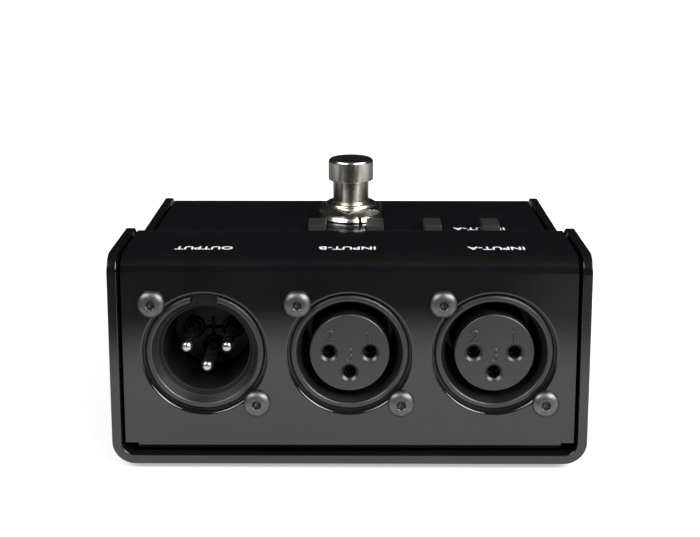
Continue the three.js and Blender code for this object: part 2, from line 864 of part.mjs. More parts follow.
function plunger() {
  const cap = capDiameter / 2;
  const neck = neckDiameter / 2;
  const guide = guideDiameter / 2;
  const retainer = retainerDiameter / 2;
  const guideEnd = wellFloor + plungerTravel + seatGap;
  const edge = Array.from({ length: 5 }, (_, i) => {
    const turn = (i / 4) * (Math.PI / 2);
    return [cap - capEdge + capEdge * Math.cos(turn), capTop - capDome - capEdge + capEdge * Math.sin(turn)];
  });
  return turned([
    [0, guideEnd],
    [guide, guideEnd],
    [guide, retainerUnder],
    [retainer, retainerUnder],
    [retainer, retainerTop],
    [neck, retainerTop],
    [neck, capUnder],
    [cap - capUnderEdge, capUnder],
    [cap, capUnder + capUnderEdge],
    ...edge,
    [cap * 0.45, capTop - capDome * 0.2],
    [0, capTop],
  ], neckFacets);
}

function bushing() {
  const outer = bushingDiameter / 2;
  const inner = bushingBore / 2;
  const sleeve = turned([
    [inner, plateUnder],
    [outer, plateUnder],
    [outer, bushingTop - bushingEdge],
    [outer - bushingEdge, bushingTop],
    [inner, bushingTop],
  ], neckFacets);
  const plate = block(around(0, switchBodySize), around(0, switchBodySize), [plateUnder, plateTop]);
  const opening = alongZ(circle((inner + outer) / 2, neckFacets), plateUnder - 1, plateTop + 1);
  return sleeve.add(plate.subtract(opening));
}

// A hexagon nut with its corners turned off at both faces.
function hexNut(under, height, turn) {
  const corner = nutAcrossFlats / Math.sqrt(3) + 0.1;
  const face = nutAcrossFlats / 2 - 0.1;
  const fall = (corner - face) * Math.tan(THREE.MathUtils.degToRad(nutChamferAngle));
  const blank = alongZ(hexagon(nutAcrossFlats, turn), under, under + height);
  const envelope = turned([
    [0, under],
    [face, under],
    [corner, under + fall],
    [corner, under + height - fall],
    [face, under + height],
    [0, under + height],
  ], neckFacets);
  const bore = alongZ(circle(bushingDiameter / 2 + slideGap, neckFacets), under - 1, under + height + 1);
  return blank.intersect(envelope).subtract(bore);
}

function lockWasher() {
  const outer = washerDiameter / 2;
  const inner = washerBore / 2 + slideGap / 2;
  const ring = turned([
    [inner, washerUnder],
    [outer - washerEdge, washerUnder],
    [outer, washerUnder + washerEdge],
    [outer, washerUnder + washerThickness - washerEdge],
    [outer - washerEdge, washerUnder + washerThickness],
    [inner, washerUnder + washerThickness],
  ], neckFacets);
  const cutHeights = [washerUnder - 1, washerUnder + washerThickness + 1];
  const slit = block([0, outer + 1], around(0, washerSlit), cutHeights);
  return ring.subtract(slit.rotate([0, 0, washerSlitTurn]));
}

function switchBody() {
  const body = block(around(0, switchBodySize), around(0, switchBodySize), [bodyUnder, bodyTop]);
  return body.subtract(alongZ(circle(switchWellDiameter / 2, neckFacets), wellFloor, bodyTop + 1));
}

class Helix extends THREE.Curve {
  constructor(radius, low, high, turns) {
    super();
    Object.assign(this, { radius, low, high, turns });
  }
  getPoint(share, target = new THREE.Vector3()) {
    const turn = share * this.turns * 2 * Math.PI;
    const height = THREE.MathUtils.lerp(this.low, this.high, share);
    return target.set(this.radius * Math.cos(turn), this.radius * Math.sin(turn), height);
  }
}

function returnSpring() {
  const margin = springWire / 2 + flatGap;
  const path = new Helix(
    (springDiameter - springWire) / 2,
    wellFloor + margin,
    retainerUnder - margin,
    springTurns,
  );
  const wire = circle(springWire / 2, 5);
  const stepsPerTurn = 10;
  return toSolid(
    new THREE.ExtrudeGeometry(wire, {
      extrudePath: path,
      steps: springTurns * stepsPerTurn,
      bevelEnabled: false,
    }),
  );
}

const lugPlaces = () =>
  [-1, 0, 1].flatMap((column) => [-1, 1].map((row) => [column * lugPitch, (row * lugRowPitch) / 2]));

function lug(x, y) {
  const high = bodyUnder - flatGap;
  const blade = block(around(x, lugWidth), around(y, lugThickness), [high - lugLength, high]);
  const drill = alongZ(circle(lugEyeDiameter / 2, pinFacets), -lugThickness, lugThickness);
  const eye = drill.rotate([90, 0, 0]).translate([x, y, high - lugLength + lugEyeFromEnd]);
  return blade.subtract(eye);
}

// The flat cable from the lugs down to the main board.
function ribbonCable() {
  const high = bodyUnder - flatGap - lugLength - seatGap - cableThickness / 2;
  const start = footswitchY + lugRowPitch / 2 + lugThickness;
  const end = mainBoardRear + seatGap + cableThickness / 2;
  const section = foldedSheet(
    [
      [start, high],
      [end, high, cableBendRadius],
      [end, high + cableRise],
    ],
    cableThickness,
  );
  return alongX(section, -cableWidth / 2, cableWidth / 2);
}

// ---------------------------------------------------------------- assembly

const selector = new THREE.Group();
const caseGroup = new THREE.Group();
caseGroup.position.z = padThickness;
selector.add(caseGroup);

const place = (name, solid, material) => caseGroup.add(piece(name, solid, material));

place("base_shell", baseShell(), blackPaint());
place("top_shell", topShell(), blackPaint());
place("nonslip_pad", nonslipPad(), rubber());
caseScrewPlaces().forEach(({ x, y }, i) => place("case_screw_" + (i + 1), caseScrew(x, y), screwSteel()));

const [outputX, inputBX, inputAX] = connectorXs;
caseGroup.add(connector("output_xlr", outputX, maleHousing(), maleInsert(), malePin(), "pin"));
caseGroup.add(connector("input_b_xlr", inputBX, femaleHousing(), femaleInsert(), femaleContact(), "contact"));
caseGroup.add(connector("input_a_xlr", inputAX, femaleHousing(), femaleInsert(), femaleContact(), "contact"));

panelScrewPlaces().forEach(({ x, z }, i) => {
  const screw = piece("panel_screw_" + (i + 1), panelScrew(), screwSteel());
  screw.position.set(x, panelFace, z);
  screw.rotation.x = Math.PI / 2;
  caseGroup.add(screw);
});

place("main_board", mainBoard(), boardGreen());
place("switch_board", switchBoard(), boardGreen());
place("board_header", boardHeader(), blackPlastic());
standoffXs.forEach((x, i) => {
  place("board_standoff_" + (i + 1), standoff(x), nickel());
  place("board_screw_" + (i + 1), boardScrew(x), screwSteel());
});

buttonXs.forEach((x, i) => {
  place("push_button_" + (i + 1), buttonCap(x), buttonPlastic());
  place("push_switch_body_" + (i + 1), pushBody(x), blackPlastic());
});

place("footswitch_plunger", atFootswitch(plunger()), nickel());
place("footswitch_bushing", atFootswitch(bushing()), nickel());
place("footswitch_nut", atFootswitch(hexNut(nutUnder, nutHeight, 90 + nutTurn)), nickel());
place("footswitch_lock_washer", atFootswitch(lockWasher()), nickel());
const innerNutUnder = lowerDeckUnder - flatGap - innerNutHeight;
place("footswitch_inner_nut", atFootswitch(hexNut(innerNutUnder, innerNutHeight, 0)), nickel());
place("footswitch_body", atFootswitch(switchBody()), switchBlue());
place("footswitch_spring", atFootswitch(returnSpring()), nickel());
lugPlaces().forEach(([x, y], i) => {
  place("footswitch_lug_" + (i + 1), lug(x, footswitchY + y), contactMetal());
});
place("ribbon_cable", ribbonCable(), cableGrey());

export default selector;
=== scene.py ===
"""The input selector box of the photo, drawn over its CAD frame, with its studio and its camera."""

import math

import bmesh
import bpy
from mathutils import Matrix, Vector


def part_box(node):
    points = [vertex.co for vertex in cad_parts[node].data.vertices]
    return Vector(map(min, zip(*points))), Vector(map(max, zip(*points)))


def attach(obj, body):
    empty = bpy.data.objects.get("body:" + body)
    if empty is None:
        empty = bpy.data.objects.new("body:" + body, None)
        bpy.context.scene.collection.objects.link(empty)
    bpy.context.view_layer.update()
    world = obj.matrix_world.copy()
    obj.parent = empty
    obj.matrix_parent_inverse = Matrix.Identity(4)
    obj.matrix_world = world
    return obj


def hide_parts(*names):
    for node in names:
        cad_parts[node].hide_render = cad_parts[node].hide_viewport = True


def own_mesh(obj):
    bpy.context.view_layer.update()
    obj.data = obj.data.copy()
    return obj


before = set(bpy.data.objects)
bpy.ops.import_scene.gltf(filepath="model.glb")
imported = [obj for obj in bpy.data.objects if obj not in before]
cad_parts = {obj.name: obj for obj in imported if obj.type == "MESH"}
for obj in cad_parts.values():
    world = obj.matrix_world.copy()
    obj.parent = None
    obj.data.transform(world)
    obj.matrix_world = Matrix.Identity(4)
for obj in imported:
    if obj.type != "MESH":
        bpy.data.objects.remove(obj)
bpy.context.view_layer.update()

# ------------------------------------------------------------------ sizes, in millimetres
MM = 0.001
LENS, SENSOR, LENS_SHIFT = 67.7983, 36.0, -1 / 7
CAMERA_X, CAMERA_BACK, CAMERA_HEIGHT = 1.34, 248.3, 109.45
CAMERA_PITCH, CAMERA_YAW = 0.1906, 0.005  # radians

LIFT = 1.2  # the pad's thickness under the steel
CASE_WIDTH, CASE_DEPTH = 95.0, 85.0
FRONT_HEIGHT, REAR_HEIGHT = 42.9, 36.9
BASE_SHEET, COVER_SHEET = 1.9, 1.2
BASE_BEND, WALL_CORNER, RIDGE_BEND = 4.6, 4.0, 2.0
COVER_BEND, FOOT_BEND = 3.5, 1.7
SET_BACK, SIDE_GAP, SEAT_GAP = 1.4, 0.6, 0.3
UPPER_DROP, LOWER_DROP = 0.5, 0.45
RIDGE_FROM_FRONT, SLOPE_RUN = 24.0, 9.0
FOOT_FLANGE = 9.0
RELIEF_WIDTH, RELIEF_HEIGHT = 2.6, 0.05
TAB_WIDTH, TAB_BELOW = 14.0, 5.0

PITCH, AXIS_HEIGHT = 28.8, 22.6
RING_RADIUS, RING_BEHIND, RING_DEPTH, RING_ROUND = 12.05, 0.7, 2.6, 0.95
LIP_RADIUS, LIP_ROUND = 10.65, 0.4
HOLE_GAP, HOLE_EDGE = 0.25, 0.5
HOUSING_LENGTH, HOUSING_FLOOR, TAIL_HOLE = 22.0, 20.4, 3.0
FLANGE_SIZE, FLANGE_CORNER, FLANGE_BACK, FLANGE_FRONT = 26.0, 3.0, -3.0, -0.65
MOULD_TURN = math.radians(1.3)  # keeps an insert's facets off its holes' facets
PIN_CIRCLE = 4.1
SCREW_OFFSET, PANEL_SCREW_HOLE = 10.3, 3.0
CASE_SCREW_HEIGHT, CASE_SCREW_FRONT, CASE_SCREW_REAR, CASE_SCREW_HOLE = 20.0, 14.0, 22.0, 3.4

BUTTON_FIRST_X, BUTTON_STEP, BUTTON_FROM_FRONT = -7.7, 13.3, 44.6
BUTTON_SIZE, BUTTON_PROUD, WINDOW_GAP = (4.0, 7.9), 2.0, 0.25
SWITCH_FROM_FRONT, SWITCH_HOLE = 62.0, 12.6

FRONT, REAR = -CASE_DEPTH / 2, CASE_DEPTH / 2
PANEL = FRONT + SET_BACK
REAR_PANEL = REAR - SET_BACK
RING_FRONT = PANEL + RING_BEHIND
RIDGE = FRONT + RIDGE_FROM_FRONT
UPPER_DECK = FRONT_HEIGHT - UPPER_DROP
LOWER_DECK = REAR_HEIGHT - LOWER_DROP
COVER_HALF = CASE_WIDTH / 2 - BASE_SHEET - SIDE_GAP
COVER_FOOT = BASE_SHEET + SEAT_GAP
BUTTON_XS = [BUTTON_FIRST_X + BUTTON_STEP * i for i in range(4)]
BUTTON_Y = FRONT + BUTTON_FROM_FRONT + BUTTON_SIZE[1] / 2
SWITCH_Y = FRONT + SWITCH_FROM_FRONT
DECK = LOWER_DECK + LIFT  # the lower deck's top, over the floor

EDGE, COVER_EDGE = 0.45, 0.18  # rounding of the painted sheets' cut edges
UPRIGHT = Matrix.Rotation(math.pi / 2, 4, "X")
CORNER_SIGNS = ((-1, -1), (1, -1), (1, 1), (-1, 1))


# ------------------------------------------------------------------ mesh tools
def rounded(corners, steps=8):
    """Corners (x, y[, radius]) of a closed outline as points, with an arc at each that has a radius."""
    points = []
    for i, corner in enumerate(corners):
        here = Vector(corner[:2])
        radius = corner[2] if len(corner) > 2 else 0
        if not radius:
            points.append(here)
            continue
        before = (Vector(corners[i - 1][:2]) - here).normalized()
        after = (Vector(corners[(i + 1) % len(corners)][:2]) - here).normalized()
        half = before.angle(after) / 2
        reach = radius / math.tan(half)
        centre = here + (before + after).normalized() * (radius / math.sin(half))
        start, end = here + before * reach - centre, here + after * reach - centre
        sweep = start.angle_signed(end)
        for k in range(steps + 1):
            turned = start.copy()
            turned.rotate(Matrix.Rotation(-sweep * k / steps, 2))
            points.append(centre + turned)
    return points


def folded(corners, thickness, steps=8):
    """The outline of a sheet that follows the middle line through the corners."""
    ends = (corners[0], corners[-1])
    line = [Vector(ends[0][:2])] + rounded([*corners], steps)[1:-1] + [Vector(ends[1][:2])]
    sides = [[], []]
    for i, point in enumerate(line):
        into = (point - line[i - 1]).normalized() if i else None
        out = (line[i + 1] - point).normalized() if i < len(line) - 1 else None
        into, out = into or out, out or into
        along = (into + out).normalized()
        mitre = 1 / math.sqrt((1 + into.dot(out)) / 2)
        for side, sign in enumerate((1, -1)):
            normal = Vector((-along.y, along.x)) * (sign * mitre * thickness / 2)
            sides[side].append(point + normal)
    return sides[0] + sides[1][::-1]


def linked(name, data):
    obj = bpy.data.objects.new(name, data)
    bpy.context.scene.collection.objects.link(obj)
    return obj


def new_object(bm):
    bmesh.ops.recalc_face_normals(bm, faces=bm.faces)
    mesh = bpy.data.meshes.new("piece")
    bm.to_mesh(mesh)
    bm.free()
    return linked("piece", mesh)


AXES = {
    "x": lambda a, b, along: (along, a, b),
    "y": lambda a, b, along: (a, along, b),
    "z": lambda a, b, along: (a, b, along),
}


def prism(points, axis, low, high):
    """A closed outline pushed along an axis."""
    bm = bmesh.new()
    place = AXES[axis]
    rings = [[bm.verts.new(place(p[0], p[1], h)) for p in points] for h in (low, high)]
    count = len(points)
    for i in range(count):
        j = (i + 1) % count
        bm.faces.new((rings[0][i], rings[0][j], rings[1][j], rings[1][i]))
    bm.faces.new(rings[0])
    bm.faces.new(rings[1])
    return new_object(bm)


def block(x, y, z):
    return prism([(x[0], y[0]), (x[1], y[0]), (x[1], y[1]), (x[0], y[1])], "z", *z)


def around(centre, size):
    return (centre - size / 2, centre + size / 2)


def lathe(profile, facets=96, shape=None):
    """A closed outline of (radius, height) turned about Z. shape may change a point's radius."""
    bm = bmesh.new()
    rings = []
    for radius, height in [p[:2] for p in profile]:
        if radius < 1e-6:
            rings.append([bm.verts.new((0, 0, height))])
            continue
        ring = []
        for i in range(facets):
            turn = 2 * math.pi * i / facets
            r = shape(radius, height, turn) if shape else radius
            ring.append(bm.verts.new((r * math.cos(turn), r * math.sin(turn), height)))
        rings.append(ring)
    for a, b in zip(rings, rings[1:] + rings[:1]):
        if len(a) == 1 and len(b) == 1:
            continue
        for i in range(facets):
            j = (i + 1) % facets
            corners = [a[i % len(a)], a[j % len(a)], b[j % len(b)], b[i % len(b)]]
            bm.faces.new(list(dict.fromkeys(corners)))
    return new_object(bm)


def ngon(sides, across_flats, turn=0.0):
    radius = across_flats / 2 / math.cos(math.pi / sides)
    angles = [math.radians(turn) + 2 * math.pi * i / sides for i in range(sides)]
    return [(radius * math.cos(a), radius * math.sin(a)) for a in angles]


def evaluated(obj):
    """obj with its modifiers applied."""
    bpy.context.view_layer.update()
    graph = bpy.context.evaluated_depsgraph_get()
    mesh = bpy.data.meshes.new_from_object(obj.evaluated_get(graph))
    obj.modifiers.clear()
    obj.data = mesh
    return obj


def boolean(obj, tools, operation="DIFFERENCE"):
    for tool in tools:
        modifier = obj.modifiers.new("boolean", "BOOLEAN")
        modifier.operation = operation
        modifier.solver = "EXACT"
        modifier.object = tool
    evaluated(obj)
    for tool in tools:
        bpy.data.objects.remove(tool)
    return obj


def moved(obj, matrix):
    obj.data.transform(matrix)
    return obj


def at(x=0.0, y=0.0, z=0.0):
    return Matrix.Translation((x, y, z))


def bevelled(obj, width, angle=35, segments=3):
    bm = bmesh.new()
    bm.from_mesh(obj.data)
    bmesh.ops.remove_doubles(bm, verts=bm.verts, dist=1e-4)
    bmesh.ops.dissolve_limit(bm, angle_limit=math.radians(0.4), verts=bm.verts, edges=bm.edges)
    bm.to_mesh(obj.data)
    bm.free()
    modifier = obj.modifiers.new("bevel", "BEVEL")
    modifier.width = width
    modifier.segments = segments
    modifier.limit_method = "ANGLE"
    modifier.angle_limit = math.radians(angle)
    modifier.miter_outer = "MITER_ARC"
    modifier.use_clamp_overlap = True
    return evaluated(obj)


def finished(obj, name, material, body="case", nodes=(), slot=None, smooth=40, weighted=True):
    """Names a piece drawn in millimetres, sizes it in metres, gives it its material and lets it ride."""
    obj.name = name
    obj.data.name = name
    obj.data.transform(Matrix.Scale(MM, 4))
    obj.data.materials.clear()
    obj.data.materials.append(material)
    obj.data.shade_smooth()
    obj.data.set_sharp_from_angle(angle=math.radians(smooth))
    if weighted:
        modifier = obj.modifiers.new("normals", "WEIGHTED_NORMAL")
        modifier.keep_sharp = True
    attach(obj, body)
    if nodes:
        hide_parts(*nodes)


def shade_deep_inside(obj, x, radius, behind):
    """The faces within a radius of a connector's axis, behind its ring's front, get the duller copy of the
    nylon, as painted shade deep in the bore.
    """
    obj.data.materials.append(SHADED_NYLON)
    for face in obj.data.polygons:
        spot = face.center / MM
        if math.hypot(spot.x - x, spot.z - AXIS_HEIGHT - LIFT) < radius and spot.y > RING_FRONT + behind:
            face.material_index = 1


# ------------------------------------------------------------------ materials
def material(name, color, roughness, metallic=0.0, **sockets):
    made = bpy.data.materials.new(name)
    made.use_nodes = True
    shader = made.node_tree.nodes["Principled BSDF"]
    shader.inputs["Base Color"].default_value = (*color, 1)
    shader.inputs["Roughness"].default_value = roughness
    shader.inputs["Metallic"].default_value = metallic
    for key, value in sockets.items():
        shader.inputs[key.replace("_", " ")].default_value = value
    return made


def node(tree, kind, inputs=None, **settings):
    made = tree.nodes.new(kind)
    for key, value in settings.items():
        setattr(made, key, value)
    for key, value in (inputs or {}).items():
        if isinstance(value, bpy.types.NodeSocket):
            tree.links.new(value, made.inputs[key])
        else:
            made.inputs[key].default_value = value
    return made


def object_position(tree, stretch=(1, 1, 1)):
    place = node(tree, "ShaderNodeTexCoord")
    return node(tree, "ShaderNodeMapping", {"Vector": place.outputs["Object"], "Scale": stretch}).outputs[0]


def noise(tree, position, scale, detail=3.0, rough=0.55):
    inputs = {"Vector": position, "Scale": scale, "Detail": detail, "Roughness": rough}
    return node(tree, "ShaderNodeTexNoise", inputs).outputs["Fac"]


def spread(tree, value, low, high, start=0.3, end=0.7):
    inputs = {"Value": value, "From Min": start, "From Max": end, "To Min": low, "To Max": high}
    return node(tree, "ShaderNodeMapRange", inputs).outputs["Result"]


def vary_colour(made, value, dark, light, start=0.3, end=0.7):
    tree = made.node_tree
    ramp = node(tree, "ShaderNodeValToRGB", {"Fac": value})
    ramp.color_ramp.elements[0].position, ramp.color_ramp.elements[1].position = start, end
    ramp.color_ramp.elements[0].color, ramp.color_ramp.elements[1].color = (*dark, 1), (*light, 1)
    tree.links.new(ramp.outputs["Color"], tree.nodes["Principled BSDF"].inputs["Base Color"])


def vary_roughness(made, value, low, high):
    tree = made.node_tree
    tree.links.new(spread(tree, value, low, high), tree.nodes["Principled BSDF"].inputs["Roughness"])


def bump(made, heights):
    """heights: (value, depth in metres) pairs, laid one on another."""
    tree = made.node_tree
    below = None
    for value, depth in heights:
        inputs = {"Height": value, "Distance": depth, "Strength": 1.0}
        if below:
            inputs["Normal"] = below
        below = node(tree, "ShaderNodeBump", inputs).outputs["Normal"]
    tree.links.new(below, tree.nodes["Principled BSDF"].inputs["Normal"])


def gloss_paint():
    made = material("gloss_black_paint", (0.0046, 0.0046, 0.005), 0.07, IOR=1.8)
    tree = made.node_tree
    here = object_position(tree)
    cloud = noise(tree, here, 60, 2)
    peel = noise(tree, here, 380, 2)
    grain = noise(tree, here, 3200, 3)
    vary_colour(made, cloud, (0.0038, 0.0038, 0.0041), (0.0056, 0.0056, 0.006))
    vary_roughness(made, grain, 0.035, 0.08)
    bump(made, [(peel, 0.0000009)])
    return made


def connector_plastic():
    made = material("glass_filled_nylon", (0.005, 0.005, 0.0055), 0.3, IOR=1.9)
    tree = made.node_tree
    here = object_position(tree)
    grain = noise(tree, here, 5200, 3, 0.7)
    flow = noise(tree, object_position(tree, (1, 1, 0.4)), 260, 3)
    vary_colour(made, grain, (0.0035, 0.0035, 0.004), (0.007, 0.007, 0.0077))
    vary_roughness(made, flow, 0.36, 0.46)
    bump(made, [(flow, 0.000005), (grain, 0.000006)])
    return made


def shaded_nylon():
    """The same moulding made duller (rougher, with a lower IOR and so less reflection), as painted shade
    deep inside the male connector.
    """
    made = material("nylon_dulled_as_shade", (0.006, 0.006, 0.0065), 0.5, IOR=1.42)
    tree = made.node_tree
    grain = noise(tree, object_position(tree), 4600, 3, 0.7)
    vary_colour(made, grain, (0.0035, 0.0035, 0.004), (0.009, 0.009, 0.0095))
    vary_roughness(made, grain, 0.42, 0.6)
    bump(made, [(grain, 0.000008)])
    return made


def button_plastic():
    made = material("button_plastic", (0.025, 0.025, 0.026), 0.45, IOR=1.5)
    tree = made.node_tree
    here = object_position(tree)
    grain = noise(tree, here, 4200, 3, 0.7)
    cloud = noise(tree, here, 350, 2)
    vary_colour(made, grain, (0.014, 0.014, 0.0145), (0.046, 0.046, 0.047), 0.4, 0.75)
    vary_roughness(made, cloud, 0.36, 0.5)
    bump(made, [(grain, 0.00001)])
    return made


def nickel():
    made = material("bright_nickel", (0.76, 0.72, 0.65), 0.14, 1.0)
    tree = made.node_tree
    lines = noise(tree, object_position(tree, (40, 40, 3000)), 4, 2)
    cloud = noise(tree, object_position(tree), 220, 3)
    vary_colour(made, cloud, (0.76, 0.73, 0.64), (0.88, 0.85, 0.77))
    vary_roughness(made, cloud, 0.18, 0.26)
    bump(made, [(lines, 0.0000055)])
    return made


def screw_steel():
    made = material("satin_steel", (0.18, 0.18, 0.185), 0.36, 1.0)
    tree = made.node_tree
    here = object_position(tree)
    grain = noise(tree, here, 6000, 3, 0.7)
    cloud = noise(tree, here, 700, 3)
    vary_colour(made, cloud, (0.14, 0.14, 0.145), (0.22, 0.22, 0.225))
    vary_roughness(made, grain, 0.36, 0.48)
    bump(made, [(cloud, 0.00001), (grain, 0.000006)])
    return made


def contact_metal():
    made = material("silver_plate", (0.8, 0.79, 0.75), 0.26, 1.0)
    tree = made.node_tree
    cloud = noise(tree, object_position(tree), 500, 3)
    lines = noise(tree, object_position(tree, (80, 900, 80)), 5, 2)
    vary_colour(made, cloud, (0.72, 0.7, 0.64), (0.86, 0.85, 0.81))
    vary_roughness(made, cloud, 0.2, 0.34)
    bump(made, [(lines, 0.0000002)])
    return made


def contact_bronze():
    made = material("contact_bronze", (0.45, 0.38, 0.25), 0.36, 1.0)
    tree = made.node_tree
    cloud = noise(tree, object_position(tree), 900, 3)
    vary_colour(made, cloud, (0.36, 0.3, 0.19), (0.52, 0.45, 0.3))
    vary_roughness(made, cloud, 0.3, 0.44)
    bump(made, [(cloud, 0.000004)])
    return made


def rubber():
    made = material("pad_rubber", (0.022, 0.022, 0.022), 0.85)
    tree = made.node_tree
    here = object_position(tree)
    cells = node(tree, "ShaderNodeTexVoronoi", {"Vector": here, "Scale": 900.0}).outputs["Distance"]
    grain = noise(tree, here, 3200, 4)
    vary_colour(made, grain, (0.016, 0.016, 0.016), (0.03, 0.03, 0.031))
    vary_roughness(made, cells, 0.75, 0.95)
    bump(made, [(cells, 0.00015), (grain, 0.00003)])
    return made


def circuit_board():
    made = material("solder_mask", (0.03, 0.13, 0.05), 0.35)
    tree = made.node_tree
    here = object_position(tree)
    weave = node(tree, "ShaderNodeTexChecker", {"Vector": here, "Scale": 1600.0}).outputs["Fac"]
    cloud = noise(tree, here, 180, 3)
    vary_colour(made, cloud, (0.022, 0.1, 0.038), (0.038, 0.16, 0.062))
    vary_roughness(made, cloud, 0.28, 0.42)
    bump(made, [(weave, 0.000012)])
    return made


def moulded(name, dark, light, roughness):
    made = material(name, light, roughness)
    tree = made.node_tree
    here = object_position(tree)
    grain = noise(tree, here, 3600, 3, 0.7)
    cloud = noise(tree, here, 240, 3)
    vary_colour(made, cloud, dark, light)
    vary_roughness(made, grain, roughness - 0.06, roughness + 0.06)
    bump(made, [(grain, 0.000006)])
    return made


def cable_sheath():
    made = material("cable_sheath", (0.35, 0.35, 0.36), 0.5)
    tree = made.node_tree
    place = node(tree, "ShaderNodeTexCoord").outputs["Object"]
    inputs = {"Vector": place, "Scale": 250.0}
    ribs = node(tree, "ShaderNodeTexWave", inputs, bands_direction="X").outputs["Fac"]
    vary_colour(made, ribs, (0.26, 0.26, 0.27), (0.4, 0.4, 0.41))
    bump(made, [(ribs, 0.00015)])
    return made


def print_ink():
    made = material("white_print", (0.84, 0.86, 0.9), 0.4)
    tree = made.node_tree
    here = object_position(tree)
    grain = noise(tree, here, 4000, 3)
    vary_colour(made, grain, (0.78, 0.8, 0.85), (0.88, 0.9, 0.95))
    bump(made, [(grain, 0.000003)])
    return made


PAINT = gloss_paint()
NYLON = connector_plastic()
# painted shade: a duller copy of the nylon for the shaded depths of the male connector
SHADED_NYLON = shaded_nylon()
BUTTON = button_plastic()
NICKEL = nickel()
STEEL = screw_steel()
SILVER = contact_metal()
BRONZE = contact_bronze()
RUBBER = rubber()
BOARD = circuit_board()
BLUE = moulded("switch_blue", (0.035, 0.09, 0.34), (0.05, 0.12, 0.42), 0.35)
BLACK = moulded("moulded_black", (0.022, 0.022, 0.023), (0.034, 0.034, 0.035), 0.5)
SHEATH = cable_sheath()
INK = print_ink()


# ------------------------------------------------------------------ case
def base_shell():
    half = CASE_WIDTH / 2 - BASE_SHEET / 2
    middle = BASE_SHEET / 2
    channel = folded(
        [
            (-half, FRONT_HEIGHT),
            (-half, middle, BASE_BEND - middle),
            (half, middle, BASE_BEND - middle),
            (half, FRONT_HEIGHT),
        ],
        BASE_SHEET,
        12,
    )
    outline = rounded(
        [
            (FRONT, 0),
            (REAR, 0),
            (REAR, REAR_HEIGHT, WALL_CORNER),
            (RIDGE + SLOPE_RUN, REAR_HEIGHT, RIDGE_BEND),
            (RIDGE, FRONT_HEIGHT, RIDGE_BEND),
            (FRONT, FRONT_HEIGHT, WALL_CORNER),
        ],
        12,
    )
    shell = prism(channel, "y", FRONT - 1, REAR + 1)
    walls = prism(outline, "x", -CASE_WIDTH, CASE_WIDTH)
    boolean(shell, [walls], "INTERSECT")
    boolean(shell, [case_screw_place(countersink(), *place) for place in case_screw_places()])
    bevelled(shell, EDGE, segments=5)
    return moved(shell, at(z=LIFT))


def case_screw_places():
    return [(side, y) for side in (-1, 1) for y in (FRONT + CASE_SCREW_FRONT, REAR - CASE_SCREW_REAR)]


def case_screw_place(obj, side, y):
    turn = Matrix.Rotation(math.radians(90) * side, 4, "Y")
    return moved(obj, at(side * CASE_WIDTH / 2, y, CASE_SCREW_HEIGHT) @ turn)


def countersink():
    hole, sink, depth = CASE_SCREW_HOLE / 2, 3.1, 1.5
    return lathe([(0, -3), (hole, -3), (hole, -depth), (sink, 0), (sink, 1), (0, 1)], 48)


def case_screw():
    shank, head, length, neck, top, socket = 1.4, 2.8, 6.5, -1.5, -0.1, 2.0
    corners = [(0, -length), (shank, -length, 0.2), (shank, neck), (head, top, 0.12), (0, top)]
    return boolean(lathe(rounded(corners, 4), 48), [prism(ngon(6, socket), "z", top - 1, 1)])


def top_shell():
    middle = COVER_SHEET / 2
    section = folded(
        [
            (PANEL + FOOT_FLANGE, COVER_FOOT + middle),
            (PANEL + middle, COVER_FOOT + middle, FOOT_BEND - middle),
            (PANEL + middle, UPPER_DECK - middle, COVER_BEND - middle),
            (RIDGE, UPPER_DECK - middle, RIDGE_BEND),
            (RIDGE + SLOPE_RUN, LOWER_DECK - middle, RIDGE_BEND),
            (REAR_PANEL - middle, LOWER_DECK - middle, COVER_BEND - middle),
            (REAR_PANEL - middle, COVER_FOOT + middle, FOOT_BEND - middle),
            (REAR_PANEL - FOOT_FLANGE, COVER_FOOT + middle),
        ],
        COVER_SHEET,
        10,
    )
    shell = prism(section, "x", -COVER_HALF, COVER_HALF)
    tabs = []
    for side, y in case_screw_places():
        deck = (UPPER_DECK if y < RIDGE else LOWER_DECK) - COVER_SHEET * 0.5
        span = sorted((side * (COVER_HALF - COVER_SHEET), side * (COVER_HALF - 0.001)))
        tabs.append(block(span, around(y, TAB_WIDTH), (CASE_SCREW_HEIGHT - TAB_BELOW, deck)))
    boolean(shell, tabs, "UNION")
    top = COVER_FOOT + FOOT_BEND + RELIEF_HEIGHT
    inner = COVER_HALF - RELIEF_WIDTH
    cutters = [
        block((-COVER_HALF - 1, -inner), (FRONT - 1, REAR + 1), (0, top)),
        block((inner, COVER_HALF + 1), (FRONT - 1, REAR + 1), (0, top)),
    ]
    radius, past = RING_RADIUS + HOLE_GAP, (-COVER_SHEET - 1, 1)
    arc = [(radius, past[0])] + [
        (radius + HOLE_EDGE * (1 - math.cos(a)), -HOLE_EDGE * (1 - math.sin(a)))
        for a in [math.radians(90) * i / 6 for i in range(7)]
    ]
    opening = [(0, past[0]), *arc, (radius + HOLE_EDGE, past[1]), (0, past[1])]
    for x in (-PITCH, 0, PITCH):
        cutters.append(moved(lathe(opening, 128), at(x, PANEL, AXIS_HEIGHT) @ UPRIGHT))
    for x, z in panel_screw_places():
        cutters.append(moved(prism(ngon(32, PANEL_SCREW_HOLE), "z", *past), at(x, PANEL, z) @ UPRIGHT))
    for side, y in case_screw_places():
        cutters.append(case_screw_place(prism(ngon(24, CASE_SCREW_HOLE), "z", -7, 1), side, y))
    span = (LOWER_DECK - 3, LOWER_DECK + 1)
    cutters += [block(*window, span) for window in button_windows()]
    cutters.append(moved(prism(ngon(64, SWITCH_HOLE), "z", *span), at(0, SWITCH_Y)))
    boolean(shell, cutters)
    bevelled(shell, COVER_EDGE, angle=50)
    return moved(shell, at(z=LIFT))


def button_windows():
    width, depth = [size + 2 * WINDOW_GAP for size in BUTTON_SIZE]
    return [(around(x, width), around(BUTTON_Y, depth)) for x in BUTTON_XS]


